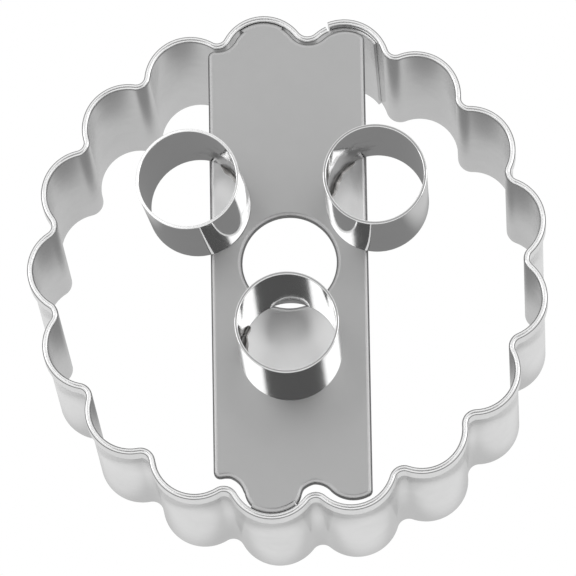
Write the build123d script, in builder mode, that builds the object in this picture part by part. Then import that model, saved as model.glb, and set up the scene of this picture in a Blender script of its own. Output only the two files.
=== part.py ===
from build123d import *
import math
import os

# A linzer cookie cutter: a scalloped ring of tin-plated strip, a stamped bridge plate across
# its folded rim, and three small round cutters that stand on the plate as two eyes and a nose.
# The origin is the middle of the ring at its cutting edge. +Z runs from the cutting edge to
# the rim, and +Y runs along the bridge plate to the end with the eyes.

# Sheet and strip
sheet = 0.3                     # thickness of the ring's strip and of the bridge plate
cutter_wall = 0.3               # thickness of the small round cutters

# Scalloped ring
ring_height = 22.0              # cutting edge to the top of the rim
scallop_count = 17
crest_radius = 24.35            # middle of the ring to the inner face at a crest
scallop_depth = 1.97            # crest to valley
valley_bend = 1.4               # radius of the inner face where two scallops meet
skirt_height = 2.1              # depth of the folded rim on the outside
rim_break = 0.3                 # open space between the two ends of the folded rim
lap_clearance = 0.02            # space between the two layers of the lap joint
seam_from_crest = 2.4           # along the scallop, from its crest to the outer end of the strip
lap_length = 5.0                # how far the inner end runs on past the outer end

# Bridge plate
plate_width = 15.0
plate_x = 0.1                   # the plate sits a little off the middle of the ring
plate_y = 0.2
end_gap = 0.5                   # plate edge to the ring's wall
lip_depth = 1.0                 # height of the plate's turned-down edge
lip_chamfer = 0.25              # the bend of each turned-down edge, as one flat
corner_round = 0.6              # corners of the plate seen from above
hole_diameter = 9.0
hole_lip_depth = 0.8
tab_width = 4.5
tab_drop = 5.0                  # plate top to the lower end of a weld tab
tab_bend = 0.5                  # outer bend radius of a weld tab

# Small round cutters
cutter_diameter = 9.8
eye_height = 10.2
nose_height = 11.0
eye_spacing = 17.0              # middle of one eye to middle of the other
eye_y = 5.65                    # measured from the middle of the plate
nose_y = -8.7
eye_lean = 3.7                  # the left eye leans outwards, in degrees

# Joints
nugget_diameter = 1.2
nugget_bite = 0.2               # how deep a spot weld reaches into each sheet
weld_spacing = 1.6              # up and down between two spot welds on a tab
seam_weld_count = 3
seam_weld_spacing = 5.5
fillet_leg = 0.45               # solder fillet inside a small cutter
solder_sweep = 60.0             # degrees of the cutter's wall that the fillet covers
left_solder_angle = 30.0        # where the fillet faces in the left eye; the right one mirrors it
nose_solder_angle = 180.0

os.makedirs("parts", exist_ok=True)

# Worked out from the sizes above
pitch = 360.0 / scallop_count
valley_reach = crest_radius - scallop_depth + valley_bend
half_cos = math.cos(math.radians(pitch / 2))
crest_bend = (
    crest_radius**2 + valley_reach**2 - valley_bend**2 - 2 * crest_radius * valley_reach * half_cos
) / (2 * (crest_radius - valley_reach * half_cos + valley_bend))
crest_reach = crest_radius - crest_bend
lap_step = sheet + lap_clearance
rim_width = 2 * sheet           # the fold is pressed tight
rim_flat = sheet * (1 - math.tan(math.pi / 8))  # the rounded fold as three flats that touch it
seam_crest = 3.5 * pitch        # direction of the scallop that holds the lap joint
outer_end = math.degrees(seam_from_crest / crest_bend)
hem_start = outer_end + math.degrees(rim_break / crest_bend)
tail_end = outer_end - math.degrees(lap_length / (crest_bend - lap_step))
plate_top = ring_height
plate_centre = Vector(plate_x, plate_y, 0)


def toward(angle, length=1.0):
    """A horizontal vector of this length at this angle."""
    return Vector(length, 0, 0).rotate(Axis.Z, angle)


def meeting_point(first, first_radius, second, second_radius):
    """The point nearer the origin where two circles meet."""
    apart = (second - first).length
    along = (first_radius**2 - second_radius**2 + apart**2) / (2 * apart)
    aside = math.sqrt(first_radius**2 - along**2)
    line = (second - first).normalized()
    middle = first + line * along
    side = Vector(-line.Y, line.X, 0) * aside
    return min(middle + side, middle - side, key=lambda point: point.length)


# The strip runs round as crests and valleys in turn. The last crest before the lap joint is
# drawn in by half a step and the lap itself by a whole one, so that the strip slides under
# its own beginning with every arc still tangent to the next.
crests = [toward(seam_crest + k * pitch, crest_reach) for k in range(scallop_count + 1)]
valleys = [toward(seam_crest + (k - 0.5) * pitch, valley_reach) for k in range(scallop_count + 1)]
crest_bends = [crest_bend] * (scallop_count + 1)
valley_bends = [valley_bend] * (scallop_count + 1)
crest_bends[0] = crest_bend - lap_step
crest_bends[1] = crest_bend - lap_step / 2
valley_bends[1] = valley_bend + lap_step
crests[1] = meeting_point(
    valleys[1], crest_bends[1] + valley_bends[1], valleys[2], crest_bends[1] + valley_bends[2]
)


def direction(start, end):
    """The angle of the line from start to end, in degrees."""
    return math.degrees(math.atan2(end.Y - start.Y, end.X - start.X))


def bow(centre, radius, start, end):
    """An arc about a centre, from one angle to another the short way."""
    turn = (end - start + 180) % 360 - 180
    points = [centre + toward(start + turn * part, radius) for part in (0, 0.5, 1)]
    return ThreePointArc(*points)


def strip_arcs(first_angle, last_angle):
    """Each arc of the strip's inner face, from its inner end to its outer one.

    An arc is its centre, its radius, 1 for a crest or -1 for a valley, and two angles.
    """
    arcs = []
    for k in range(scallop_count + 1):
        begin = direction(crests[k], valleys[k])
        end = direction(crests[k], valleys[(k + 1) % (scallop_count + 1)])
        if k == 0:
            begin = seam_crest + first_angle
        if k == scallop_count:
            end = seam_crest + last_angle
        arcs.append((crests[k], crest_bends[k], 1, begin, end))
        if k < scallop_count:
            low = valleys[k + 1]
            arcs.append(
                (low, valley_bends[k + 1], -1, direction(low, crests[k]), direction(low, crests[k + 1]))
            )
    return arcs


def room_inside(inset, shift):
    """The region inside the ring's wall, drawn in by inset and moved by shift."""
    with BuildSketch(mode=Mode.PRIVATE) as room:
        with BuildLine() as edge:
            for centre, radius, sense, begin, end in strip_arcs(tail_end, tail_end):
                bow(centre + shift, radius - sense * inset, begin, end)
            Line(edge.line @ 1, edge.line @ 0)
        make_face()
    return room.sketch


def upright_plane(centre, angle, height=0.0):
    """A standing plane through a vertical axis, with its x pointing away from the axis."""
    return Plane(
        origin=(centre.X, centre.Y, height), x_dir=toward(angle), z_dir=toward(angle - 90)
    )


def nugget_planes(centre, angle, radius, heights):
    """Planes on the joint between two sheets, one for each spot weld, facing outwards."""
    face = centre + toward(angle, radius)
    return [
        Plane(origin=(face.X, face.Y, height), z_dir=toward(angle))
        for height in heights
    ]


def nuggets(planes, mode=Mode.ADD):
    """Spot welds: short eight-sided discs, half in one sheet and half in the other."""
    depth = nugget_bite + lap_clearance / 2
    for plane in planes:
        with BuildSketch(plane) as disc:
            RegularPolygon(nugget_diameter / 2, 8)
        extrude(disc.sketch, amount=depth, both=True, mode=mode)


# Places of the spot welds
seam_radius = crest_bend - lap_clearance / 2
seam_heights = [
    (ring_height - skirt_height) / 2 + (k - (seam_weld_count - 1) / 2) * seam_weld_spacing
    for k in range(seam_weld_count)
]
seam_planes = nugget_planes(
    crests[scallop_count],
    seam_crest + (outer_end + tail_end) / 2,
    seam_radius,
    seam_heights,
)
upper_crest = 1
lower_crest = (scallop_count + 1) // 2
tab_heights = [
    plate_top - (skirt_height + tab_drop) / 2 + part * weld_spacing for part in (-0.5, 0.5)
]


def tab_angle(crest):
    """Direction in which the scallop under a weld tab faces."""
    return direction(Vector(0, 0, 0), crests[crest])


def tab_planes(crest):
    """Planes of the spot welds that hold one tab to the ring."""
    return nugget_planes(crests[crest], tab_angle(crest), crest_bends[crest], tab_heights)


upper_planes = tab_planes(upper_crest)
lower_planes = tab_planes(lower_crest)

# Scalloped ring: a strip with its upper edge folded outwards, bent round, lapped and spot
# welded. The fold stops short of the lap, where the strip runs on plain under its beginning.
def hemmed_length(centre, radius, sense, begin, end):
    """One arc of the strip with its upper edge folded outwards."""
    turn = (end - begin + 180) % 360 - 180
    with BuildPart(mode=Mode.PRIVATE) as length:
        with BuildSketch(upright_plane(centre, min(begin, begin + turn))):
            with BuildLine():
                inner, outer = radius, radius + sense * rim_width
                skin = sense * sheet
                Polyline(
                    (inner, 0),
                    (inner + skin, 0),
                    (inner + skin, ring_height - skirt_height),
                    (outer, ring_height - skirt_height),
                    (outer, ring_height - rim_flat),
                    (outer - sense * rim_flat, ring_height),
                    (inner + sense * rim_flat, ring_height),
                    (inner, ring_height - rim_flat),
                    close=True,
                )
            make_face()
        revolve(axis=Axis(centre, (0, 0, 1)), revolution_arc=abs(turn))
    return length.part


with BuildPart() as scalloped_ring:
    add([hemmed_length(*arc) for arc in strip_arcs(hem_start, outer_end)], clean=False)
    with BuildSketch() as tail_section:
        with BuildLine():
            inner = bow(
                crests[0], crest_bends[0], seam_crest + tail_end, seam_crest + hem_start
            )
            outer = bow(
                crests[0], crest_bends[0] + sheet, seam_crest + tail_end, seam_crest + hem_start
            )
            Line(inner @ 0, outer @ 0)
            Line(inner @ 1, outer @ 1)
        make_face()
    extrude(amount=ring_height - sheet)
    nuggets(seam_planes + upper_planes + lower_planes, Mode.SUBTRACT)
scalloped_ring.part.label = "scalloped_ring"
export_step(scalloped_ring.part, "parts/scalloped_ring.step")


def plate_outline(inset):
    """The plate seen from above, drawn in by inset, with its ends following the scallops."""
    with BuildSketch(mode=Mode.PRIVATE) as outline:
        add(room_inside(end_gap + corner_round, plate_centre))
        with Locations(plate_centre):
            Rectangle(
                plate_width - 2 * corner_round, 3 * crest_radius, mode=Mode.INTERSECT
            )
        offset(amount=corner_round - inset)
    return outline.sketch


def weld_tab(crest):
    """A tongue that runs on from the plate's end and bends down against the ring's wall."""
    centre = crests[crest]
    wall = crest_bends[crest]
    middle = tab_angle(crest)
    width = math.degrees(tab_width / wall)
    start = middle - width / 2
    upright = upright_plane(centre, start, plate_top)
    axis = Axis(centre, (0, 0, 1))
    edge_room = end_gap + abs(plate_y) + lip_chamfer + sheet
    with BuildSketch(upright) as below:
        with Locations((wall - sheet, -sheet)):
            Rectangle(edge_room, lip_depth, align=(Align.MAX, Align.MAX))
    revolve(below.sketch, axis=axis, revolution_arc=width, mode=Mode.SUBTRACT)
    with BuildSketch(upright) as tongue:
        with BuildLine():
            FilletPolyline(
                (wall - 2 * edge_room, 0), (wall, 0), (wall, -tab_drop), radius=tab_bend
            )
            Polyline(
                (wall, -tab_drop),
                (wall - sheet, -tab_drop),
                (wall - sheet, -sheet),
                (wall - 2 * edge_room, -sheet),
                (wall - 2 * edge_room, 0),
            )
        make_face()
    revolve(tongue.sketch, axis=axis, revolution_arc=width)


# Bridge plate: a stamping with its edge and its hole turned down, and a weld tab at each end.
with BuildPart() as bridge_plate:
    with BuildSketch(Plane.XY.offset(plate_top - lip_depth)):
        add(plate_outline(0))
    extrude(amount=lip_depth)
    chamfer(bridge_plate.faces().sort_by(Axis.Z)[-1].edges(), lip_chamfer)
    with BuildPart(mode=Mode.PRIVATE) as hollow:
        with BuildSketch(Plane.XY.offset(plate_top - lip_depth)):
            add(plate_outline(sheet))
        extrude(amount=lip_depth - sheet)
        with BuildSketch(Plane.XY.offset(plate_top - hole_lip_depth)):
            with Locations(plate_centre):
                Circle(hole_diameter / 2 + sheet)
        extrude(amount=hole_lip_depth, mode=Mode.SUBTRACT)
    add(hollow.part, mode=Mode.SUBTRACT)
    with BuildSketch(Plane.XY.offset(plate_top)):
        with Locations(plate_centre):
            Circle(hole_diameter / 2)
    extrude(amount=-2 * lip_depth, mode=Mode.SUBTRACT)
    chamfer(bridge_plate.faces().sort_by(Axis.Z)[-1].inner_wires()[0].edges(), lip_chamfer)
    weld_tab(upper_crest)
    weld_tab(lower_crest)
    nuggets(upper_planes + lower_planes, Mode.SUBTRACT)
bridge_plate.part.label = "bridge_plate"
export_step(bridge_plate.part, "parts/bridge_plate.step")


def round_cutter(foot, height):
    """A short tube that stands on a plane."""
    with BuildSketch(foot) as wall:
        Circle(cutter_diameter / 2)
        Circle(cutter_diameter / 2 - cutter_wall, mode=Mode.SUBTRACT)
    extrude(wall.sketch, amount=height)


# The left eye leans out over the plate's edge, turning about the line where the flat of the
# plate ends.
eye_x = eye_spacing / 2
lean_line = plate_width / 2 - lip_chamfer
foot_drop = (eye_x - lean_line) * math.tan(math.radians(eye_lean))
left_foot = Plane(
    origin=(plate_x - eye_x, plate_y + eye_y, plate_top - foot_drop),
    x_dir=(math.cos(math.radians(eye_lean)), 0, math.sin(math.radians(eye_lean))),
    z_dir=(-math.sin(math.radians(eye_lean)), 0, math.cos(math.radians(eye_lean))),
)
right_foot = Plane(origin=(plate_x + eye_x, plate_y + eye_y, plate_top))
nose_foot = Plane(origin=(plate_x, plate_y + nose_y, plate_top))

with BuildPart() as left_eye:
    round_cutter(left_foot, eye_height)
left_eye.part.label = "left_eye"
export_step(left_eye.part, "parts/left_eye.step")

with BuildPart() as right_eye:
    round_cutter(right_foot, eye_height)
right_eye.part.label = "right_eye"
export_step(right_eye.part, "parts/right_eye.step")

with BuildPart() as nose:
    round_cutter(nose_foot, nose_height)
nose.part.label = "nose"
export_step(nose.part, "parts/nose.step")


def solder_fillet(middle, facing, cutter):
    """A concave fillet of solder in the corner between the plate and a cutter's inner wall."""
    inside = cutter_diameter / 2 - cutter_wall
    start = facing - solder_sweep / 2
    with BuildSketch(upright_plane(middle, start, plate_top)) as section:
        with Locations((inside - fillet_leg, 0)):
            Rectangle(
                fillet_leg + cutter_wall / 2, fillet_leg, align=(Align.MIN, Align.MIN)
            )
        with Locations((inside - fillet_leg, fillet_leg)):
            Circle(fillet_leg, mode=Mode.SUBTRACT)
    axis = Axis((middle.X, middle.Y, 0), (0, 0, 1))
    revolve(section.sketch, axis=axis, revolution_arc=solder_sweep)
    add(cutter, mode=Mode.SUBTRACT)


with BuildPart() as left_eye_solder:
    solder_fillet(left_foot.origin, left_solder_angle, left_eye.part)
left_eye_solder.part.label = "left_eye_solder"
export_step(left_eye_solder.part, "parts/left_eye_solder.step")

with BuildPart() as right_eye_solder:
    solder_fillet(right_foot.origin, 180 - left_solder_angle, right_eye.part)
right_eye_solder.part.label = "right_eye_solder"
export_step(right_eye_solder.part, "parts/right_eye_solder.step")

with BuildPart() as nose_solder:
    solder_fillet(nose_foot.origin, nose_solder_angle, nose.part)
nose_solder.part.label = "nose_solder"
export_step(nose_solder.part, "parts/nose_solder.step")

# The spot welds themselves, each a small lens of joined metal inside the two sheets.
with BuildPart() as seam_welds:
    nuggets(seam_planes)
seam_welds.part.label = "seam_welds"
export_step(seam_welds.part, "parts/seam_welds.step")

with BuildPart() as upper_tab_welds:
    nuggets(upper_planes)
upper_tab_welds.part.label = "upper_tab_welds"
export_step(upper_tab_welds.part, "parts/upper_tab_welds.step")

with BuildPart() as lower_tab_welds:
    nuggets(lower_planes)
lower_tab_welds.part.label = "lower_tab_welds"
export_step(lower_tab_welds.part, "parts/lower_tab_welds.step")
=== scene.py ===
# %% [markdown]
# # A scalloped linzer cookie cutter
#
# The real cutter is five pieces of bright tin-plated sheet: a scalloped ring with a folded rim,
# a stamped bridge plate, and three short tubes that cut the eyes and the nose. Spot welds and
# small beads of solder hold them together.
#
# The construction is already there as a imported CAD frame. This notebook loads it, sets the
# camera, builds finer pieces over the plain ones, and gives every piece its finish. Everything
# is in metres, and +Y runs along the plate towards the eyes.

# %% Load the frame
import math

import bmesh
import bpy
from mathutils import Matrix, Vector


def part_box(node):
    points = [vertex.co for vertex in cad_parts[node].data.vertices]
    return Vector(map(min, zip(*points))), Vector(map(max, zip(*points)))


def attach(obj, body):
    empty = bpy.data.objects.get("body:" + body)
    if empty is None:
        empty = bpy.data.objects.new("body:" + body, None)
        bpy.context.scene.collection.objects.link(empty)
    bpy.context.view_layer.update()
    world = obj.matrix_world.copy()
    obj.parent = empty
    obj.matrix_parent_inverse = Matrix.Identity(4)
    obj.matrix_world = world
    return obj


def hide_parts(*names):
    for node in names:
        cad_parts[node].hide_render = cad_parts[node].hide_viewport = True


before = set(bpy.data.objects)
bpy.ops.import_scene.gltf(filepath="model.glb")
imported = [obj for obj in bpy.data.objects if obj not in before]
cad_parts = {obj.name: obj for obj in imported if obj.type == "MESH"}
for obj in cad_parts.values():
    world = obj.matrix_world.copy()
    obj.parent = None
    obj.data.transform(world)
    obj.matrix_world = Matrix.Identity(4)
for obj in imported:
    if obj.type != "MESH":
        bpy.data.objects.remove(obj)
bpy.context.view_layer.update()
mm = 0.001
body = "root"
print("nodes:", sorted(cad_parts))

# %% [markdown]
# ## The camera
#
# The photograph looks down on the rim from far away, tilted a little towards the nose and
# rolled a little. A tilt and a roll are easier to read than a rotation matrix, so they are
# named here and the matrix is worked out from them. The far camera keeps the perspective as
# weak as it is in the photograph.

# %% Place the camera
rim_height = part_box("scalloped_ring")[1].z
tilt = math.radians(14.8)           # away from straight down
roll = math.radians(8.18)           # about the line of sight
turn = math.radians(7.01)           # from the tilt's own axis to the plate's
distance = 722.6 * mm
sensor = 36.0
frame_pixels = 576
focal_pixels = 7594.0
below_centre = 22.0                 # pixels from the rim's middle down to the frame's middle
aim = Vector((-0.04 * mm, -0.23 * mm, rim_height))


def placed(name, data):
    """A new object in the scene that holds this camera, light, curve or mesh."""
    thing = bpy.data.objects.new(name, data)
    bpy.context.scene.collection.objects.link(thing)
    return thing


def camera_axes():
    """The camera's right, up and back directions in the frame's own axes."""
    across = Vector((1, 0, 0))
    upward = Vector((0, math.cos(tilt), math.sin(tilt)))
    back = Vector((0, -math.sin(tilt), math.cos(tilt)))
    right = across * math.cos(roll) - upward * math.sin(roll)
    up = across * math.sin(roll) + upward * math.cos(roll)
    turned = Matrix.Rotation(turn, 3, "Z")
    return turned @ right, turned @ up, turned @ back


right, up, back = camera_axes()
eye_point = aim + back * distance
dip = math.atan(below_centre / focal_pixels)
view_back = back * math.cos(dip) + up * math.sin(dip)
view_up = up * math.cos(dip) - back * math.sin(dip)

camera_data = bpy.data.cameras.new("photo_camera")
camera_data.sensor_width = sensor
camera_data.lens = sensor * focal_pixels / frame_pixels
camera_data.clip_end = 10.0
camera = placed("photo_camera", camera_data)
camera.matrix_world = Matrix.Translation(eye_point) @ Matrix(
    (right, view_up, view_back)
).transposed().to_4x4()
bpy.context.scene.camera = camera
print("lens", round(camera_data.lens, 1), "mm from", round(distance / mm), "mm away")

# %% [markdown]
# ## Sizes that the pieces share
#
# The ring is made of two arcs that repeat: a wide one for each crest and a tight one for each
# valley. Two arcs that touch smoothly are fixed by four sizes, so those are the only numbers
# needed; the crest's own bend follows from them.

# %% Shared sizes
sheet = 0.3 * mm
scallops = 17
crest_radius = 24.35 * mm
scallop_depth = 1.97 * mm
valley_bend = 1.4 * mm
pitch = 2 * math.pi / scallops
half_pitch = pitch / 2
valley_reach = crest_radius - scallop_depth + valley_bend
crest_bend = (
    crest_radius**2
    + valley_reach**2
    - valley_bend**2
    - 2 * crest_radius * valley_reach * math.cos(half_pitch)
) / (2 * (crest_radius - valley_reach * math.cos(half_pitch) + valley_bend))
crest_reach = crest_radius - crest_bend
seam_crest = 3.5 * pitch            # direction of the scallop that holds the lap joint
valley_spot = Vector((valley_reach * math.cos(half_pitch), valley_reach * math.sin(half_pitch)))
crest_sweep = math.atan2(valley_spot.y, valley_spot.x - crest_reach)
valley_sweep = crest_sweep - half_pitch
crest_share = 0.5 * crest_bend * crest_sweep / (crest_bend * crest_sweep + valley_bend * valley_sweep)
lap_step = sheet + 0.02 * mm        # how far the first ends of the strip are drawn in
draw_start, draw_end = 0.5, 1.5     # where that ends, in scallops from the lap
points_a_scallop = 48
print("crest bend", round(crest_bend / mm, 2), "mm")

# %% [markdown]
# ## A little arithmetic for node trees
#
# Geometry Nodes does sums with one Math node each. A small wrapper that turns +, -, * and /
# into those nodes keeps a formula on one readable line instead of a page of links. The same
# wrapper serves the shaders of the plate, the floor and the dome further on.

# %% Sums as nodes
def feed(tree, socket, term):
    """Give an input its value: another node's output, a sum, or a plain value."""
    value = term.value if isinstance(term, Sum) else term
    if isinstance(value, bpy.types.NodeSocket):
        tree.links.new(value, socket)
    else:
        socket.default_value = value


def add_node(tree, kind, inputs=(), **settings):
    """A new node with its settings made and then its inputs fed, by name or by number."""
    node = tree.nodes.new(kind)
    for name, setting in settings.items():
        setattr(node, name, setting)
    for label, term in dict(inputs).items():
        feed(tree, node.inputs[label], term)
    return node


class Sum:
    """A value inside a node tree that can be added, multiplied and so on."""

    def __init__(self, tree, value):
        self.tree = tree
        self.value = value

    def join(self, operation, *others):
        """A Math node of this operation, fed by this value and the others."""
        terms = dict(enumerate((self, *others)))
        node = add_node(self.tree, "ShaderNodeMath", terms, operation=operation)
        return Sum(self.tree, node.outputs[0])

    def __add__(self, other):
        return self.join("ADD", other)

    def __sub__(self, other):
        return self.join("SUBTRACT", other)

    def __mul__(self, other):
        return self.join("MULTIPLY", other)

    def __truediv__(self, other):
        return self.join("DIVIDE", other)


def eased(tree, value, low, high, start, end):
    """A Map Range node that eases from one level to another as a value goes from low to high."""
    labels = ("Value", "From Min", "From Max", "To Min", "To Max")
    terms = dict(zip(labels, (value, low, high, start, end)))
    node = add_node(tree, "ShaderNodeMapRange", terms, interpolation_type="SMOOTHSTEP")
    return Sum(tree, node.outputs[0])


def least(sums):
    """The smallest of several sums."""
    smallest = sums[0]
    for other in sums[1:]:
        smallest = smallest.join("MINIMUM", other)
    return smallest


def vector_of(tree, x, y, z=0.0):
    """A Combine XYZ node from three values."""
    return add_node(tree, "ShaderNodeCombineXYZ", {0: x, 1: y, 2: z}).outputs[0]


# %% [markdown]
# A tree is built once, with a named input for each size, and run once for each piece. What it
# makes is copied out as a plain mesh, because a modifier would not survive the hand-over.

# %% Trees that make meshes
def new_tree(name, sizes):
    """A geometry tree with a named input for each size, and those inputs as sums."""
    tree = bpy.data.node_groups.new(name, "GeometryNodeTree")
    tree.interface.new_socket("Geometry", in_out="INPUT", socket_type="NodeSocketGeometry")
    for label, value in sizes.items():
        if isinstance(value, bpy.types.Object):
            kind = "NodeSocketObject"
        elif isinstance(value, int):
            kind = "NodeSocketInt"
        else:
            kind = "NodeSocketFloat"
        socket = tree.interface.new_socket(label, in_out="INPUT", socket_type=kind)
        if kind != "NodeSocketObject":
            socket.default_value = value
    tree.interface.new_socket("Geometry", in_out="OUTPUT", socket_type="NodeSocketGeometry")
    given = add_node(tree, "NodeGroupInput")
    return tree, {label: Sum(tree, given.outputs[label]) for label in sizes}


def swept(tree, path, section):
    """The mesh of a section that is swept upright along a path."""
    upright = add_node(tree, "GeometryNodeSetCurveNormal", {"Curve": path}, mode="Z_UP")
    profile = add_node(tree, "GeometryNodeObjectInfo", {"Object": section}).outputs["Geometry"]
    terms = {"Curve": upright.outputs[0], "Profile Curve": profile, "Fill Caps": True}
    return add_node(tree, "GeometryNodeCurveToMesh", terms).outputs[0]


def hand_out(tree, mesh, material):
    """The end of a tree: real geometry in its material."""
    real = add_node(tree, "GeometryNodeRealizeInstances", {0: mesh}).outputs[0]
    terms = {"Geometry": real, "Material": material}
    dressed = add_node(tree, "GeometryNodeSetMaterial", terms).outputs[0]
    add_node(tree, "NodeGroupOutput", {"Geometry": dressed})


def run_tree(tree, name, sizes):
    """Run a geometry tree on an empty mesh and return the result as a plain mesh object."""
    holder = placed(name, bpy.data.meshes.new(name))
    modifier = holder.modifiers.new("nodes", "NODES")
    modifier.node_group = tree
    for item in tree.interface.items_tree:
        if item.in_out == "INPUT" and item.name in sizes:
            modifier[item.identifier] = sizes[item.name]
    graph = bpy.context.evaluated_depsgraph_get()
    made = bpy.data.meshes.new_from_object(holder.evaluated_get(graph))
    holder.modifiers.clear()
    holder.data = made
    made.name = name
    return holder


def section_curve(name, outline):
    """A closed flat curve that a tree sweeps along a path; x is outwards and y is up."""
    data = bpy.data.curves.new(name, "CURVE")
    data.dimensions = "2D"
    spline = data.splines.new("POLY")
    spline.points.add(len(outline) - 1)
    for point, (x, y) in zip(spline.points, outline):
        point.co = (x, y, 0, 1)
    spline.use_cyclic_u = True
    return placed(name, data)


def quarter(centre_x, centre_y, radius, start, end, steps):
    """Points of an arc in a section, angles in degrees."""
    angles = [math.radians(start + (end - start) * i / steps) for i in range(steps + 1)]
    return [(centre_x + radius * math.cos(a), centre_y + radius * math.sin(a)) for a in angles]


# %% [markdown]
# ## Tin plate, in four finishes
#
# Bright tin plate is metal all the way: it has almost no colour of its own and takes its looks
# from what it mirrors. What tells it from a perfect mirror is a fine rolled grain, a soft
# unevenness of the plating and some wear. Those three come from node groups that several
# materials share. The groups only give colours, masks and normals; each material keeps its own
# Principled shader, so its metallic and specular values stay plain numbers.

# %% Node groups for grain, plating and wear
def new_group(name, inputs, outputs):
    """An empty shader group with these sockets, and its input and output nodes."""
    group = bpy.data.node_groups.new(name, "ShaderNodeTree")
    for label, (kind, value) in inputs.items():
        socket = group.interface.new_socket(label, in_out="INPUT", socket_type=kind)
        socket.default_value = value
    for label, kind in outputs.items():
        group.interface.new_socket(label, in_out="OUTPUT", socket_type=kind)
    return group, group.nodes.new("NodeGroupInput"), group.nodes.new("NodeGroupOutput")


def rolled_grain():
    """Fine lines that rolling leaves in the sheet, as a mask and a bump."""
    group, given, result = new_group(
        "rolled grain",
        {
            "Stretch": ("NodeSocketVector", (1.0, 1.0, 0.1)),
            "Scale": ("NodeSocketFloat", 6000.0),
            "Depth": ("NodeSocketFloat", 0.004 * mm),
        },
        {"Mask": "NodeSocketFloat", "Normal": "NodeSocketVector"},
    )
    place = add_node(group, "ShaderNodeTexCoord").outputs["Object"]
    terms = {0: place, 1: given.outputs["Stretch"]}
    stretched = add_node(group, "ShaderNodeVectorMath", terms, operation="MULTIPLY").outputs[0]
    terms = {"Vector": stretched, "Scale": given.outputs["Scale"], "Detail": 3.0, "Roughness": 0.6}
    height = add_node(group, "ShaderNodeTexNoise", terms).outputs["Fac"]
    terms = {"Height": height, "Distance": given.outputs["Depth"]}
    bump = add_node(group, "ShaderNodeBump", terms)
    feed(group, result.inputs["Mask"], height)
    feed(group, result.inputs["Normal"], bump.outputs["Normal"])
    return group


def uneven_plating():
    """Soft clouds and small spots in the tin, as a mask from 0 to 1."""
    group, given, result = new_group(
        "uneven plating",
        {
            "Cloud scale": ("NodeSocketFloat", 90.0),
            "Spot scale": ("NodeSocketFloat", 700.0),
            "Spot share": ("NodeSocketFloat", 0.25),
        },
        {"Mask": "NodeSocketFloat"},
    )
    place = add_node(group, "ShaderNodeTexCoord").outputs["Object"]
    fields = []
    for label, detail in (("Cloud scale", 4.0), ("Spot scale", 2.0)):
        terms = {"Vector": place, "Scale": given.outputs[label], "Detail": detail}
        noise = add_node(group, "ShaderNodeTexNoise", terms).outputs["Fac"]
        terms = {"Value": noise, "From Min": 0.3, "From Max": 0.7}
        fields.append(add_node(group, "ShaderNodeMapRange", terms).outputs[0])
    terms = {0: given.outputs["Spot share"], 2: fields[0], 3: fields[1]}
    feed(group, result.inputs["Mask"], add_node(group, "ShaderNodeMix", terms).outputs[0])
    return group


def edge_wear():
    """Where the surface turns sharply, as a mask: raw and rubbed edges."""
    group, given, result = new_group(
        "edge wear",
        {"Reach": ("NodeSocketFloat", 0.05 * mm)},
        {"Mask": "NodeSocketFloat"},
    )
    soft = add_node(group, "ShaderNodeBevel", {"Radius": given.outputs["Reach"]}, samples=4)
    true = add_node(group, "ShaderNodeNewGeometry").outputs["Normal"]
    terms = {0: soft.outputs[0], 1: true}
    alike = add_node(group, "ShaderNodeVectorMath", terms, operation="DOT_PRODUCT")
    terms = {"Value": alike.outputs["Value"], "From Min": 0.97, "From Max": 0.80}
    feed(group, result.inputs["Mask"], add_node(group, "ShaderNodeMapRange", terms).outputs[0])
    return group


grain_group = rolled_grain()
plating_group = uneven_plating()
wear_group = edge_wear()
print("groups:", [group.name for group in bpy.data.node_groups])

# %% [markdown]
# One function makes a tin finish from a few words: its darkest and lightest grey, its smoothest
# and dullest patches, which way the sheet was rolled, how deep that grain is, and how large the
# clouds in the plating are. Another dulls a finish wherever a mask says so.

# %% Tin finishes
def mix_of(tree, kind, factor, first, second):
    """A Mix node; each of its three inputs is a socket or a plain value."""
    numbers = {"FLOAT": (0, 2, 3), "RGBA": (0, 6, 7)}[kind]
    terms = dict(zip(numbers, (factor, first, second)))
    node = add_node(tree, "ShaderNodeMix", terms, data_type=kind)
    return node.outputs[{"FLOAT": 0, "RGBA": 2}[kind]]


def dull_where(material, mask, shade, roughness):
    """Where a mask is 1, scale a finish's colour by a shade and give it another roughness."""
    tree = material.node_tree
    inputs = tree.nodes["Principled BSDF"].inputs
    clean, sharp = (inputs[label].links[0].from_socket for label in ("Base Color", "Roughness"))
    darker = add_node(tree, "ShaderNodeVectorMath", {0: clean, "Scale": shade}, operation="SCALE")
    feed(tree, inputs["Base Color"], mix_of(tree, "RGBA", mask, clean, darker.outputs[0]))
    feed(tree, inputs["Roughness"], mix_of(tree, "FLOAT", mask, sharp, roughness))


def grey(level, warmth=0.0):
    """A near-neutral metal colour; warmth moves it a little from blue to yellow."""
    return (level * (1 + warmth), level, level * (1 - warmth), 1)


rubbed_tin = grey(0.80)
rubbed_roughness = 0.4
grain_share = 0.08                  # how much of the roughness comes from the grain


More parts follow.
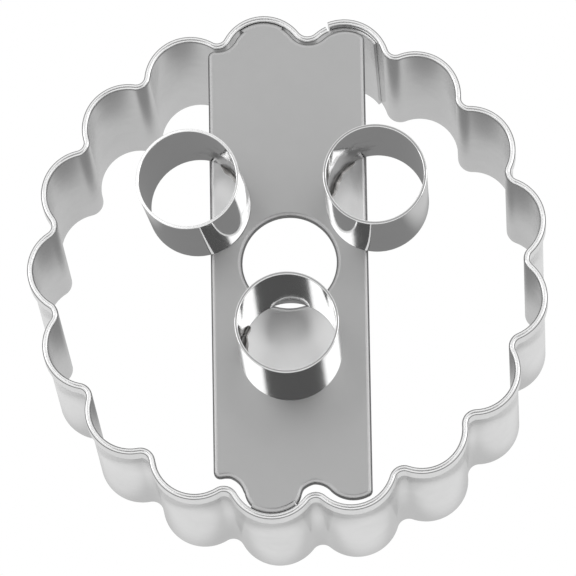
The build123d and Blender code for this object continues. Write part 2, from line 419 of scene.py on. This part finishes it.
def tin_finish(name, dark, light, smooth, dull, stretch, grain_depth, cloud_scale):
    """Tin plate whose colour and roughness wander between two values each."""
    material = bpy.data.materials.new(name)
    material.use_nodes = True
    tree = material.node_tree
    shader = tree.nodes["Principled BSDF"]
    shader.inputs["Metallic"].default_value = 1.0
    terms = {"Stretch": stretch, "Depth": grain_depth}
    grain = add_node(tree, "ShaderNodeGroup", terms, node_tree=grain_group)
    terms = {"Cloud scale": cloud_scale}
    patches = add_node(tree, "ShaderNodeGroup", terms, node_tree=plating_group).outputs["Mask"]
    worn = add_node(tree, "ShaderNodeGroup", node_tree=wear_group).outputs["Mask"]
    tint = mix_of(tree, "RGBA", patches, dark, light)
    feed(tree, shader.inputs["Base Color"], mix_of(tree, "RGBA", worn, tint, rubbed_tin))
    patchy = mix_of(tree, "FLOAT", patches, dull, smooth)
    lined = mix_of(tree, "FLOAT", grain_share, patchy, grain.outputs["Mask"])
    feed(tree, shader.inputs["Roughness"], mix_of(tree, "FLOAT", worn, lined, rubbed_roughness))
    feed(tree, shader.inputs["Normal"], grain.outputs["Normal"])
    return material


# %% The four finishes
ring_tin = tin_finish(
    "ring tin",
    dark=grey(0.69),
    light=grey(0.75),
    smooth=0.15,
    dull=0.22,
    stretch=(1.0, 1.0, 0.12),
    grain_depth=0.0010 * mm,
    cloud_scale=110.0,
)
plate_tin = tin_finish(
    "plate tin",
    dark=grey(0.70),
    light=grey(0.74),
    smooth=0.03,
    dull=0.06,
    stretch=(1.0, 0.15, 1.0),
    grain_depth=0.0004 * mm,
    cloud_scale=80.0,
)
cutter_tin = tin_finish(
    "cutter tin",
    dark=grey(0.70),
    light=grey(0.76),
    smooth=0.02,
    dull=0.05,
    stretch=(1.0, 1.0, 0.2),
    grain_depth=0.0002 * mm,
    cloud_scale=60.0,
)
weld_metal = tin_finish(
    "weld metal",
    dark=grey(0.25, 0.03),
    light=grey(0.55, 0.02),
    smooth=0.20,
    dull=0.45,
    stretch=(1.0, 1.0, 1.0),
    grain_depth=0.02 * mm,
    cloud_scale=900.0,
)
finishes = (ring_tin, plate_tin, cutter_tin, weld_metal)
print("finishes:", ", ".join(finish.name for finish in finishes))

# %% [markdown]
# ## The scalloped ring
#
# On the real cutter this is one strip of sheet. Its upper edge is folded outwards, pressed
# nearly flat, and the strip is bent round to a scalloped outline whose ends lap. Sweeping a
# section along a path is the honest way to model a bent strip, and Geometry Nodes can follow
# the rule of the two arcs exactly. The path is a line of points; each point's number says how
# many scallops round it is, and the arithmetic turns that into a place on an arc. The path's
# first scallop and a half is drawn in by one sheet, so the plain tail lies inside the other end.

# %% The tree that bends the strip
def scallop_tree(sizes):
    """Sweeps a section along the scalloped path, from one place round the ring to another."""
    tree, size = new_tree("bent strip", sizes)
    line = add_node(tree, "GeometryNodeCurvePrimitiveLine").outputs[0]
    terms = {"Curve": line, "Count": size["Points"]}
    dense = add_node(tree, "GeometryNodeResampleCurve", terms).outputs[0]

    # How many scallops round each point is, and which arc of its scallop it is on
    index = Sum(tree, add_node(tree, "GeometryNodeInputIndex").outputs[0])
    along = index / (size["Points"] - 1.0)
    round_count = size["First"] + along * (size["Last"] - size["First"])
    whole = round_count.join("ROUND")
    part = round_count - whole
    share = part.join("ABSOLUTE")
    side = part.join("SIGN")
    on_valley = share.join("GREATER_THAN", size["Crest share"])

    crest_angle = share / size["Crest share"] * size["Crest sweep"]
    crest_x = size["Crest reach"] + crest_angle.join("COSINE") * size["Crest bend"]
    crest_y = crest_angle.join("SINE") * size["Crest bend"]

    left_over = (Sum(tree, 0.5) - share) / (Sum(tree, 0.5) - size["Crest share"])
    valley_angle = size["Half pitch"] + left_over * (size["Crest sweep"] - size["Half pitch"])
    valley_x = (
        size["Half pitch"].join("COSINE") * size["Valley reach"]
        - valley_angle.join("COSINE") * size["Valley bend"]
    )
    valley_y = (
        size["Half pitch"].join("SINE") * size["Valley reach"]
        - valley_angle.join("SINE") * size["Valley bend"]
    )
    x = crest_x + (valley_x - crest_x) * on_valley
    y = (crest_y + (valley_y - crest_y) * on_valley) * side
    terms = {"Geometry": dense, "Position": vector_of(tree, x, y)}
    scallop = add_node(tree, "GeometryNodeSetPosition", terms).outputs[0]

    position = add_node(tree, "GeometryNodeInputPosition").outputs[0]
    angle = whole * size["Half pitch"] * 2.0 + size["Seam"]
    terms = {"Vector": position, "Angle": angle}
    spin = add_node(tree, "ShaderNodeVectorRotate", terms, rotation_type="Z_AXIS").outputs[0]
    terms = {"Geometry": scallop, "Position": spin}
    turned = add_node(tree, "GeometryNodeSetPosition", terms).outputs[0]

    # Draw the beginning in, so that the tail lies inside the strip's other end
    drawn_in = eased(tree, round_count, draw_start, draw_end, size["Lap step"] * -1.0, 0.0)
    tangent = add_node(tree, "GeometryNodeInputTangent").outputs[0]
    terms = {0: tangent, 1: (0, 0, 1)}
    outward = add_node(tree, "ShaderNodeVectorMath", terms, operation="CROSS_PRODUCT").outputs[0]
    terms = {0: outward, "Scale": drawn_in}
    shift = add_node(tree, "ShaderNodeVectorMath", terms, operation="SCALE").outputs[0]
    terms = {"Geometry": turned, "Offset": shift}
    path = add_node(tree, "GeometryNodeSetPosition", terms).outputs[0]
    hand_out(tree, swept(tree, path, size["Section"]), ring_tin)
    return tree


# %% [markdown]
# The section swept along that path is the strip cut through: a wall, a half-round fold over the
# top and a short skirt pressed against the wall's outside. The sweep lays a section's y axis
# downwards, so the outline is turned over as it is made.

# %% Sections of the strip
ring_height = rim_height
skirt_height = 2.1 * mm
slit = 0.03 * mm                    # the fold isn't pressed quite shut
skin = sheet - slit / 2
burr = 0.04 * mm                    # raw edges are a little broken
fold = ring_height - sheet          # where the wall ends and the fold begins
under_fold = fold - 0.1 * mm        # a row here keeps the wall's shading level
slit_end = fold - 0.03 * mm
skirt_foot = ring_height - skirt_height
tail_top = ring_height - 1.0 * mm   # the tail has no fold and stays below the rim
rows = [4 * mm, 12 * mm]            # rows that keep the faces of the tall wall short


def hemmed_outline():
    """The strip's section with its folded edge, wall first."""
    outline = [(0, burr), *((0, row) for row in rows), (0, under_fold)]
    outline += quarter(sheet, fold, sheet, 180, 0, 14)
    outline += [(2 * sheet, under_fold), (2 * sheet, skirt_foot + burr)]
    outline += [(2 * sheet - burr, skirt_foot), (sheet + slit / 2 + burr, skirt_foot)]
    outline += [(sheet + slit / 2, skirt_foot + burr)]
    outline += quarter(sheet, slit_end, slit / 2, 0, 180, 4)
    outline += [(skin, row) for row in reversed(rows)]
    outline += [(skin, burr), (skin - burr, 0), (burr, 0)]
    return [(x, -y) for x, y in outline]


def tail_outline():
    """The section of the plain tail, which has no fold."""
    outline = [(0, burr), *((0, row) for row in rows), (0, tail_top - burr), (burr, tail_top)]
    outline += [(sheet - burr, tail_top), (sheet, tail_top - burr)]
    outline += [(sheet, row) for row in reversed(rows)]
    outline += [(sheet, burr), (sheet - burr, 0), (burr, 0)]
    return [(x, -y) for x, y in outline]


print("places in the hem's section:", len(hemmed_outline()))

# %% [markdown]
# The lap lies on one crest. The strip's outer end is cut a little way round from the middle of
# that crest, and the fold on the inner end begins just past it. From there back, the plain tail
# runs on inside the lap.

# %% Where the strip begins and ends
def scallop_share(from_crest):
    """How far round a scallop a distance along its crest is, as a part of the pitch."""
    return from_crest / crest_bend / crest_sweep * crest_share


lap = 5.0 * mm
outer_end = scallop_share(2.4 * mm)
hem_start = scallop_share(2.7 * mm)
tail_end = outer_end - scallop_share(lap)
tail_points = 60
print("strip ends at", round(outer_end, 3), "of a scallop, tail at", round(tail_end, 3))
ring_sizes = {
    "Points": scallops * points_a_scallop,
    "First": hem_start,
    "Last": scallops + outer_end,
    "Crest reach": crest_reach,
    "Crest bend": crest_bend,
    "Crest sweep": crest_sweep,
    "Crest share": crest_share,
    "Valley reach": valley_reach,
    "Valley bend": valley_bend,
    "Half pitch": half_pitch,
    "Seam": seam_crest,
    "Lap step": lap_step,
    "Section": section_curve("hemmed section", hemmed_outline()),
}
strip_tree = scallop_tree(ring_sizes)

# %% Bend the strip
def smooth_metal(piece, crease=30.0):
    """Turn all faces outwards, and shade smoothly except across real creases."""
    work = bmesh.new()
    work.from_mesh(piece.data)
    bmesh.ops.remove_doubles(work, verts=work.verts, dist=0.0001 * mm)
    bmesh.ops.recalc_face_normals(work, faces=work.faces)
    if work.calc_volume(signed=True) < 0:
        bmesh.ops.reverse_faces(work, faces=work.faces)
    work.to_mesh(piece.data)
    work.free()
    piece.data.shade_smooth()
    piece.data.set_sharp_from_angle(angle=math.radians(crease))


def mesh_piece(name, work):
    """A mesh object from finished mesh work."""
    mesh = bpy.data.meshes.new(name)
    work.to_mesh(mesh)
    work.free()
    return placed(name, mesh)


def joined(name, pieces):
    """Several mesh objects of one material as one object."""
    work = bmesh.new()
    for piece in pieces:
        work.from_mesh(piece.data)
    whole = mesh_piece(name, work)
    whole.data.materials.append(pieces[0].data.materials[0])
    for piece in pieces:
        bpy.data.objects.remove(piece)
    return whole


hemmed = run_tree(strip_tree, "hemmed strip", ring_sizes)
tail_sizes = {
    **ring_sizes,
    "Points": tail_points,
    "First": tail_end,
    "Last": hem_start,
    "Section": section_curve("tail section", tail_outline()),
}
tail = run_tree(strip_tree, "tail", tail_sizes)
ring_piece = joined("bent_ring", [hemmed, tail])
smooth_metal(ring_piece)
for sizes in (ring_sizes, tail_sizes):
    bpy.data.objects.remove(sizes["Section"])
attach(ring_piece, body)
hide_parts("scalloped_ring")
print("ring:", len(ring_piece.data.polygons), "faces")

# %% [markdown]
# ## The bridge plate
#
# The plate is one stamping. Its ends follow the scallops, its whole edge and the edge of its
# hole are turned down, and a tongue at each end runs out to the ring's wall and bends down
# against it for welding. Seen from above it is an outline; every turned edge is a row of
# columns, and each column is a small section through the sheet at that place. A column needs a
# point on the outline and the direction that faces outwards there.

# %% Sizes of the plate
plate_x = 0.1 * mm
plate_y = 0.2 * mm
plate_width = 15.0 * mm
eye_end_gap = 0.42 * mm             # between the plate and the wall, if the plate were centred
nose_end_gap = 0.32 * mm
nose_end_notch = 0.36 * mm          # how much more gap the nose end has at each valley
notch_ramp = 0.14                   # of a scallop, over which the gap grows beside the tab
notch_at_tab = -0.3                 # share of the gap at the tab, where the edge runs on into it
corner = 0.6 * mm
bend = 0.4 * mm                     # outer radius of a turned-down edge
lip_depth = 1.0 * mm
tab_width = 4.65 * mm
tab_drop = 5.0 * mm
tab_bend = 0.5 * mm
eye_tab = 1.0                       # where the tabs are, in scallops from the lap
nose_tab = 9.045
end_samples = 420
hole_radius = 4.5 * mm
hole_lip = 0.8 * mm
hole_steps = 120
plate_middle = Vector((plate_x, plate_y))
core_side = plate_width / 2 - corner
print("plate:", round(plate_width / mm, 1), "mm wide")

# %% The outline of the plate
def scallop_place(count):
    """A place on the strip's inner face and its outward direction, by the same rule as the tree."""
    whole = math.floor(count + 0.5)
    part = count - whole
    share = abs(part)
    side = 1 if part >= 0 else -1
    if share <= crest_share:
        angle = share / crest_share * crest_sweep
        place = Vector((crest_reach + crest_bend * math.cos(angle), crest_bend * math.sin(angle)))
    else:
        left_over = (0.5 - share) / (0.5 - crest_share)
        angle = half_pitch + left_over * (crest_sweep - half_pitch)
        place = valley_spot - valley_bend * Vector((math.cos(angle), math.sin(angle)))
    place.y *= side
    out = Vector((math.cos(angle), side * math.sin(angle)))
    turn_to = Matrix.Rotation(seam_crest + whole * pitch, 2)
    ramp = min(max((count - draw_start) / (draw_end - draw_start), 0.0), 1.0)
    step = lap_step * (1 - ramp * ramp * (3 - 2 * ramp))
    place, out = turn_to @ place, turn_to @ out
    return place - out * step, out


def end_columns(first, last, tab_count, crest_gap, notch):
    """Columns along one end of the plate, where it stays between its two sides.

    Each is a place on the plate's core, its outward direction, the place on the wall that it
    faces, and whether the weld tab runs on from there.
    """
    half_tab = scallop_share(tab_width / 2)
    columns = []
    for i in range(end_samples + 1):
        count = first + (last - first) * i / end_samples
        wall, out = scallop_place(count)
        from_valley = 1 - 2 * abs(count - math.floor(count + 0.5))
        gap = crest_gap + notch * (1 - from_valley) ** 2
        if notch:
            beside_tab = (abs(count - tab_count) - half_tab) / notch_ramp
            gap = gap * min(max(beside_tab, notch_at_tab), 1.0)
        core = wall - out * (gap + corner) + plate_middle
        if abs(core.x - plate_x) <= core_side:
            columns.append((core, out, wall, abs(count - tab_count) <= half_tab))
    return columns


def corner_columns(place, start, end, steps=6):
    """Columns that fan round one corner, from one outward direction to the next."""
    turn_by = (end - start + math.pi) % (2 * math.pi) - math.pi
    angles = [start + turn_by * i / steps for i in range(steps + 1)]
    return [(place, Vector((math.cos(a), math.sin(a))), None, False) for a in angles]


def heading(direction):
    """The angle of a direction seen from above."""
    return math.atan2(direction.y, direction.x)


def plate_columns():
    """All columns round the plate, counter-clockwise from its right side at the eye end."""
    upper = end_columns(-0.5, 3.0, eye_tab, eye_end_gap, 0)
    lower = end_columns(7.5, 11.0, nose_tab, nose_end_gap, nose_end_notch)
    left, right = plate_x - core_side, plate_x + core_side
    columns = corner_columns(Vector((right, upper[0][0].y)), 0, heading(upper[0][1]))
    columns += upper
    columns += corner_columns(Vector((left, upper[-1][0].y)), heading(upper[-1][1]), math.pi)
    columns += corner_columns(Vector((left, lower[0][0].y)), math.pi, heading(lower[0][1]))
    columns += lower
    columns += corner_columns(Vector((right, lower[-1][0].y)), heading(lower[-1][1]), 0)
    return columns


columns = plate_columns()
print("columns:", len(columns))

# %% [markdown]
# Each section is a list of places in the column's own plane: how far out, and how far below the
# plate's top. Where the tab begins, the plate has both sections in one column. Each is closed
# there by a cap, which is the sheared end of the turned edge or the sheared side of the tab.

# %% Sections of the turned edges
plate_top = rim_height
flat_edge = corner - bend           # the flat ends here, measured from the core
tab_clearance = 0.01 * mm


def turned_edge():
    """The section of the plate's edge below its flat top, from the outside round to the inside."""
    section = quarter(flat_edge, -bend, bend, 90, 0, 7)[1:]
    section += [(corner, burr - lip_depth), (corner - burr, -lip_depth)]
    section += [(corner - sheet + burr, -lip_depth), (corner - sheet, burr - lip_depth)]
    section += quarter(flat_edge, -bend, bend - sheet, 0, 90, 3)[:-1]
    return section


def tab_section(reach):
    """The section of a weld tab that starts at the flat's edge and reaches the wall."""
    section = quarter(reach - tab_bend, -tab_bend, tab_bend, 90, 0, 8)
    section += [(reach, burr - tab_drop), (reach - burr, -tab_drop)]
    section += [(reach - sheet + burr, -tab_drop), (reach - sheet, burr - tab_drop)]
    section += quarter(reach - tab_bend, -tab_bend, tab_bend - sheet, 0, 90, 4)
    return section


def hole_section(radius, depth):
    """The section of the hole's turned-down edge, as distances from the hole's middle."""
    section = quarter(radius + bend, -bend, bend, 90, 180, 7)
    section += [(radius, burr - depth), (radius + burr, -depth)]
    section += [(radius + sheet - burr, -depth), (radius + sheet, burr - depth)]
    section += quarter(radius + bend, -bend, bend - sheet, 180, 90, 3)
    return section


print("places in the edge's section:", len(turned_edge()))
# %% Press the plate
def press_plate():
    """The bridge plate as one closed mesh."""
    work = bmesh.new()

    def point(place, height):
        return work.verts.new((place.x, place.y, plate_top + height))

    def band(first, second):
        for a, b, c, d in zip(first, first[1:], second[1:], second):
            work.faces.new((a, b, c, d))

    lips, tabs = [], []
    for core, out, wall, on_tab in columns:
        edge = core + out * flat_edge
        top, under = point(edge, 0), point(edge, -sheet)
        lip = [point(core + out * offset, height) for offset, height in turned_edge()]
        lips.append([top, *lip, under])
        tab = None
        if on_tab:
            across = (wall - edge).normalized()
            reach = (wall - edge).length - tab_clearance
            tab = [point(edge + across * offset, height) for offset, height in tab_section(reach)]
            tab = [top, *tab, under]
        tabs.append(tab)

    for i, lip in enumerate(lips):
        after = (i + 1) % len(lips)
        if tabs[i] and tabs[after]:
            band(tabs[i], tabs[after])
        else:
            band(lip, lips[after])
        if tabs[i] and not (tabs[i - 1] and tabs[after]):
            work.faces.new(lip)
            work.faces.new(tabs[i][::-1])

    hole = hole_section(hole_radius, hole_lip)
    spokes = []
    for i in range(hole_steps):
        angle = 2 * math.pi * i / hole_steps
        out = Vector((math.cos(angle), math.sin(angle)))
        spokes.append([point(plate_middle + out * radius, height) for radius, height in hole])
    for i, spoke in enumerate(spokes):
        band(spoke, spokes[i - 1])

    for row in (0, -1):
        outer = [lip[row] for lip in lips]
        inner = [spoke[row] for spoke in spokes]
        edges = [work.edges.get((a, b)) for a, b in zip(outer, outer[1:] + outer[:1])]
        edges += [work.edges.get((a, b)) for a, b in zip(inner, inner[1:] + inner[:1])]
        bmesh.ops.triangle_fill(work, edges=[e for e in edges if e], normal=(0, 0, 1))
    loose = [v for v in work.verts if not v.link_faces]
    bmesh.ops.delete(work, geom=loose, context="VERTS")

    return mesh_piece("pressed_plate", work)


def sharpen_flats(piece):
    """Keep flat sheet flat in its shading: mark the edges where a bend leaves a level face."""
    work = bmesh.new()
    work.from_mesh(piece.data)
    for edge in work.edges:
        level = [abs(face.normal.z) > 0.9999 for face in edge.link_faces]
        if any(level) and not all(level):
            edge.smooth = False
    work.to_mesh(piece.data)
    work.free()


plate_piece = press_plate()
plate_piece.data.materials.append(plate_tin)
smooth_metal(plate_piece)
sharpen_flats(plate_piece)
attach(plate_piece, body)
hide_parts("bridge_plate")
print("plate:", len(plate_piece.data.polygons), "faces")

# %% [markdown]
# ## Eyes and nose
#
# Three short tubes of the same kind stand on the plate, so one small node tree makes all of
# them: a circle, a section swept round it, and a lean for the left eye, which stands partly
# over the plate's turned edge.

# %% The tree that rolls a round cutter
def cutter_tree(sizes):
    """Sweeps a wall section round a circle, leans it and puts it in its place."""
    tree, size = new_tree("round cutter", sizes)
    terms = {"Resolution": size["Segments"], "Radius": size["Bore radius"]}
    circle = add_node(tree, "GeometryNodeCurvePrimitiveCircle", terms).outputs[0]
    terms = {
        "Geometry": swept(tree, circle, size["Section"]),
        "Translation": vector_of(tree, size["Place X"], size["Place Y"], size["Place Z"]),
        "Rotation": vector_of(tree, 0.0, size["Lean"]),
    }
    hand_out(tree, add_node(tree, "GeometryNodeTransform", terms).outputs[0], cutter_tin)
    return tree


# %% Where the small cutters stand
bore_radius = 4.6 * mm
wall_thickness = 0.3 * mm
eye_height = 10.2 * mm
nose_height = 11.0 * mm
eye_spacing = 17.0 * mm
eye_y = plate_y + 5.65 * mm
nose_y = plate_y - 8.7 * mm
lean = math.radians(3.7)
flat_inset = 0.25 * mm              # the leaning foot rests this far in from the plate's side
foot_drop = (eye_spacing / 2 - plate_width / 2 + flat_inset) * math.tan(lean)
eye_middles = [Vector((plate_x + side * eye_spacing / 2, eye_y)) for side in (-1, 1)]
nose_middle = Vector((plate_x, nose_y))
print("the eyes stand", round(eye_spacing / mm, 1), "mm apart")

# %% [markdown]
# The open face of the plate was dulled in handling, and its colour carries painted shade: it is
# darker where it is seen directly, and painted lighter inside each small cutter, where their own
# shade falls. The sheet still mirrors like glass at a glancing look: what stands on it shows it
# sharply. A Light Path node tells the two apart, the direct look and the mirrored one, so the face
# is satin and painted darker when it is seen, and bright when something mirrors it.

# %% Dull the plate's open face and paint its shade
def from_axis(tree, place, middle):
    """How far a point is from an upright axis."""
    shift_x = Sum(tree, place.outputs["X"]) - middle.x
    shift_y = Sum(tree, place.outputs["Y"]) - middle.y
    return (shift_x * shift_x + shift_y * shift_y).join("SQRT")


def dull_and_paint_plate_shade(material, roughness, painted_open_shade, painted_light_in_cutters):
    """Satin and painted darker where it is seen directly; painted lighter inside the small cutters.
    """
    tree = material.node_tree
    spot = add_node(tree, "ShaderNodeTexCoord").outputs["Object"]
    place = add_node(tree, "ShaderNodeSeparateXYZ", {0: spot})
    nearest = least([from_axis(tree, place, middle) for middle in (*eye_middles, nose_middle)])
    low, high = bore_radius - 0.1 * mm, bore_radius + 0.1 * mm
    # painted shade on the open face, painted light inside the small cutters
    shade = eased(tree, nearest, low, high, painted_light_in_cutters, painted_open_shade)
    seen = add_node(tree, "ShaderNodeLightPath").outputs["Is Camera Ray"]
    dull_where(material, seen, shade, roughness)


# painted shade: the plate's colour is darker where seen directly and lighter inside the small cutters
dull_and_paint_plate_shade(plate_tin, roughness=0.38, painted_open_shade=0.60, painted_light_in_cutters=1.15)
print("plate dulled")

# %% Roll the eyes and the nose
rim_corner = [                      # in from the wall's face, and down from the rim
    (0.0 * mm, 0.13 * mm),          # this row below the rounding keeps the wall's shading level
    (0.0 * mm, 0.10 * mm),
    (0.02 * mm, 0.03 * mm),
    (0.07 * mm, 0.0 * mm),
]


def cutter_outline(height):
    """The wall of a small cutter, with its rim and foot a little rounded."""
    outline = [(0, burr)]
    outline += [(x, height - y) for x, y in rim_corner]
    outline += [(wall_thickness - x, height - y) for x, y in reversed(rim_corner)]
    outline += [(wall_thickness, burr), (wall_thickness - burr, 0), (burr, 0)]
    return [(x, -y) for x, y in outline]


cutters = {
    "left_eye": (eye_height, eye_middles[0], -lean),
    "right_eye": (eye_height, eye_middles[1], 0.0),
    "nose": (nose_height, nose_middle, 0.0),
}
rolling_tree = None
for node_name, (height, middle, angle) in cutters.items():
    cutter_sizes = {
        "Segments": 192,
        "Bore radius": bore_radius,
        "Place X": middle.x,
        "Place Y": middle.y,
        "Place Z": plate_top - (foot_drop if angle else 0.0),
        "Lean": angle,
        "Section": section_curve(node_name + " section", cutter_outline(height)),
    }
    rolling_tree = rolling_tree or cutter_tree(cutter_sizes)
    cutter = run_tree(rolling_tree, "rolled_" + node_name, cutter_sizes)
    bpy.data.objects.remove(cutter_sizes["Section"])
    smooth_metal(cutter)
    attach(cutter, body)
    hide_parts(node_name)
    print(node_name, round(height / mm, 1), "mm tall")

# %% [markdown]
# ## Solder
#
# A bead of solder runs a short way round the inside of each small cutter. Molten metal pulls
# itself up both faces of the corner and freezes a little lumpy, so its size wanders along the
# bead and dies away at both ends.

# %% Run the solder
bead_sweep = 66.0                   # degrees round the wall
bead_leg = 0.52 * mm
bead_bite = 0.05 * mm               # how far it sinks into the plate and the wall
hollow_share = 0.55                 # 0 is a straight slope, 1 is a full hollow


def lump(part, phase):
    """How thick the bead is along its length, from 0 at its ends to about 1."""
    swell = 1 + 0.20 * math.sin(9 * part + phase) + 0.12 * math.sin(23 * part + 2 * phase)
    return swell * (4 * part * (1 - part)) ** 0.4


def solder_bead(name, middle, facing, phase):
    """A bead in the corner between the plate and a cutter's inner wall."""
    steps, rows = 60, 9
    work = bmesh.new()
    previous = None
    for i in range(steps + 1):
        part = (i + 0.5) / (steps + 1)
        angle = math.radians(facing + (part - 0.5) * bead_sweep)
        out = Vector((math.cos(angle), math.sin(angle)))
        here = bead_leg * lump(part, phase)
        section = [(bore_radius + bead_bite, -bead_bite), (bore_radius + bead_bite, here)]
        for row in range(rows + 1):
            swing = math.pi / 2 * row / rows
            hollow_r = bore_radius - here + here * math.cos(swing)
            hollow_z = here - here * math.sin(swing)
            straight = row / rows
            chord_r = bore_radius - here * straight
            chord_z = here * (1 - straight)
            r = chord_r + (hollow_r - chord_r) * hollow_share
            z = chord_z + (hollow_z - chord_z) * hollow_share
            section.append((r, z))
        section.append((bore_radius - here, -bead_bite))
        loop = [
            work.verts.new((middle.x + out.x * r, middle.y + out.y * r, plate_top + z))
            for r, z in section
        ]
        if previous:
            for a, b, c, d in zip(loop, loop[1:] + loop[:1], previous[1:] + previous[:1], previous):
                work.faces.new((a, b, c, d))
        else:
            work.faces.new(loop)
        previous = loop
    work.faces.new(previous)
    piece = mesh_piece(name, work)
    piece.data.materials.append(weld_metal)
    smooth_metal(piece, crease=50.0)
    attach(piece, body)
    return piece


beads = {
    "left_eye_solder": (eye_middles[0], 30.0, 0.4, 4.6 * mm),
    "right_eye_solder": (eye_middles[1], 150.0, 1.9, 4.6 * mm),
    "nose_solder": (nose_middle, 180.0, 3.1, 1.6 * mm),
}
stains = []
for node_name, (middle, facing, phase, stain_reach) in beads.items():
    bead = solder_bead("bead_" + node_name, middle, facing, phase)
    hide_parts(node_name)
    angle = math.radians(facing)
    on_wall = middle + bore_radius * Vector((math.cos(angle), math.sin(angle)))
    stains.append((on_wall.to_3d() + Vector((0, 0, plate_top + stain_reach / 2)), stain_reach))
print("beads:", len(beads))

# %% [markdown]
# The heat and the flux stained the tin beside each bead. The distance from the bead, as a share
# of the stain's reach and made ragged by a noise, turns the wall darker and rougher there.

# %% Stain the walls beside the solder
def stain_beside(material, spots, shade, roughness):
    """Darker, rougher metal round each of these spots, with a ragged edge."""
    tree = material.node_tree
    place = add_node(tree, "ShaderNodeTexCoord").outputs["Object"]
    terms = {"Vector": place, "Scale": 700.0, "Detail": 3.0}
    ragged = add_node(tree, "ShaderNodeTexNoise", terms)
    shares = []
    for spot, reach in spots:
        terms = {0: place, 1: spot}
        away = add_node(tree, "ShaderNodeVectorMath", terms, operation="DISTANCE")
        shares.append(Sum(tree, away.outputs["Value"]) / reach)
    rough_edge = least(shares) + Sum(tree, ragged.outputs["Fac"])
    stain = eased(tree, rough_edge, 1.0, 1.5, 1.0, 0.0)
    dull_where(material, stain, shade, roughness)


stain_beside(cutter_tin, stains, shade=0.55, roughness=0.42)
print("stains:", len(stains))

# %% [markdown]
# ## Spot welds
#
# The welds are lenses of joined metal between two sheets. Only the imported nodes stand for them,
# and they keep their places; they just get a weld's finish.

# %% Finish the spot welds
for node_name in ("seam_welds", "upper_tab_welds", "lower_tab_welds"):
    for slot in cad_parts[node_name].material_slots:
        slot.material = weld_metal
print("spot welds finished")

# %% [markdown]
# ## Floor and light
#
# The photograph has a white ground, and the mirror-like metal shows what stood round it: a
# ground that is shaded under the cutter, two bright panels left and right, a broad soft belt of
# light, and a dark patch where the camera hangs. The floor shows the camera plain white, and
# shows the metal its own shade, which depends on how far from the cutter's middle it is.

# %% Lay the floor
floor_mesh = bpy.data.meshes.new("floor")
half_floor = 0.6
floor_mesh.from_pydata(
    [(-half_floor, -half_floor, 0), (half_floor, -half_floor, 0)]
    + [(half_floor, half_floor, 0), (-half_floor, half_floor, 0)],
    [],
    [(0, 1, 2, 3)],
)
floor = placed("floor", floor_mesh)
# painted shade: the glow that the metal mirrors is made dimmer under and inside the cutter, in place
# of its shadow
shade_under = 0.26                  # level that the small cutters mirror
shade_inside = 0.62                 # level just inside the ring
shade_around = 0.84                 # level just outside the ring
shade_far = 0.25
inside_edge = (18 * mm, 21 * mm)
ring_edge = (24 * mm, 26 * mm)
far_edge = (38 * mm, 60 * mm)
ground = bpy.data.materials.new("white ground")
ground.use_nodes = True
tree = ground.node_tree
tree.nodes.remove(tree.nodes["Principled BSDF"])
spot = add_node(tree, "ShaderNodeTexCoord").outputs["Object"]
parts = add_node(tree, "ShaderNodeSeparateXYZ", {0: spot})
across, along = Sum(tree, parts.outputs["X"]), Sum(tree, parts.outputs["Y"])
reach = (across * across + along * along).join("SQRT")
shade = eased(tree, reach, *inside_edge, shade_under, shade_inside)
shade = eased(tree, reach, *ring_edge, shade, shade_around)
shade = eased(tree, reach, *far_edge, shade, shade_far)
mirrored = add_node(tree, "ShaderNodeEmission", {"Strength": shade}).outputs[0]
white = add_node(tree, "ShaderNodeEmission", {"Strength": 1.0}).outputs[0]
seen = add_node(tree, "ShaderNodeLightPath").outputs["Is Camera Ray"]
either = add_node(tree, "ShaderNodeMixShader", {"Fac": seen, 1: mirrored, 2: white})
feed(tree, tree.nodes["Material Output"].inputs["Surface"], either.outputs[0])
floor_mesh.materials.append(ground)
print("floor laid")

# %% [markdown]
# The dome is written as sums on the direction that a ray leaves in. Near the zenith it is dark
# on the camera's side and grey beyond it; the plate mirrors that grey. The two panels start a
# little to the left and right, and their edges are the sharp borders between black and white on
# the small cutters. Each edge below is a pair: where the change begins and where it ends.

# %% Light the dome
camera_side = 0.13
beyond = 0.50
panel = 1.9
belt = 1.15
horizon = 0.3
camera_edge = (-0.12, 0.12)
panel_edge = (0.205, 0.215)
panel_slant = 0.27
belt_edge = (0.36, 0.46)
horizon_edge = (0.03, 0.25)
dome = bpy.data.worlds.new("studio dome")
bpy.context.scene.world = dome
dome.use_nodes = True
tree = dome.node_tree
direction = add_node(tree, "ShaderNodeTexCoord").outputs["Generated"]
terms = {"Vector": direction, "Angle": -turn}
facing_camera = add_node(tree, "ShaderNodeVectorRotate", terms, rotation_type="Z_AXIS")
parts = add_node(tree, "ShaderNodeSeparateXYZ", {0: facing_camera.outputs[0]})
x, y, z = (Sum(tree, parts.outputs[axis]) for axis in "XYZ")
overhead = eased(tree, y, *camera_edge, camera_side, beyond)
sideways = x.join("ABSOLUTE") + y * panel_slant
overhead = eased(tree, sideways, *panel_edge, overhead, panel)
off_zenith = (x * x + y * y).join("SQRT")
level = eased(tree, off_zenith, *belt_edge, overhead, belt)
level = level * eased(tree, z, *horizon_edge, horizon, 1.0)
feed(tree, tree.nodes["Background"].inputs["Strength"], level)
feed(tree, tree.nodes["Background"].inputs["Color"], (1, 1, 1, 1))
print("dome lit")

# %% Set up two weak softboxes
def softbox(name, place):
    """A large weak light that faces the cutter."""
    light = bpy.data.lights.new(name, "AREA")
    light.shape = "SQUARE"
    light.size = 0.25
    light.energy = 0.2
    lamp = placed(name, light)
    facing = Vector((0, 0, 0.02)) - Vector(place)
    lamp.matrix_world = (
        Matrix.Translation(place) @ facing.to_track_quat("-Z", "Y").to_matrix().to_4x4()
    )


softbox("left softbox", (-0.45, 0.05, 0.30))
softbox("right softbox", (0.45, 0.05, 0.30))
bpy.context.scene.view_settings.view_transform = "Standard"
print("lights set")
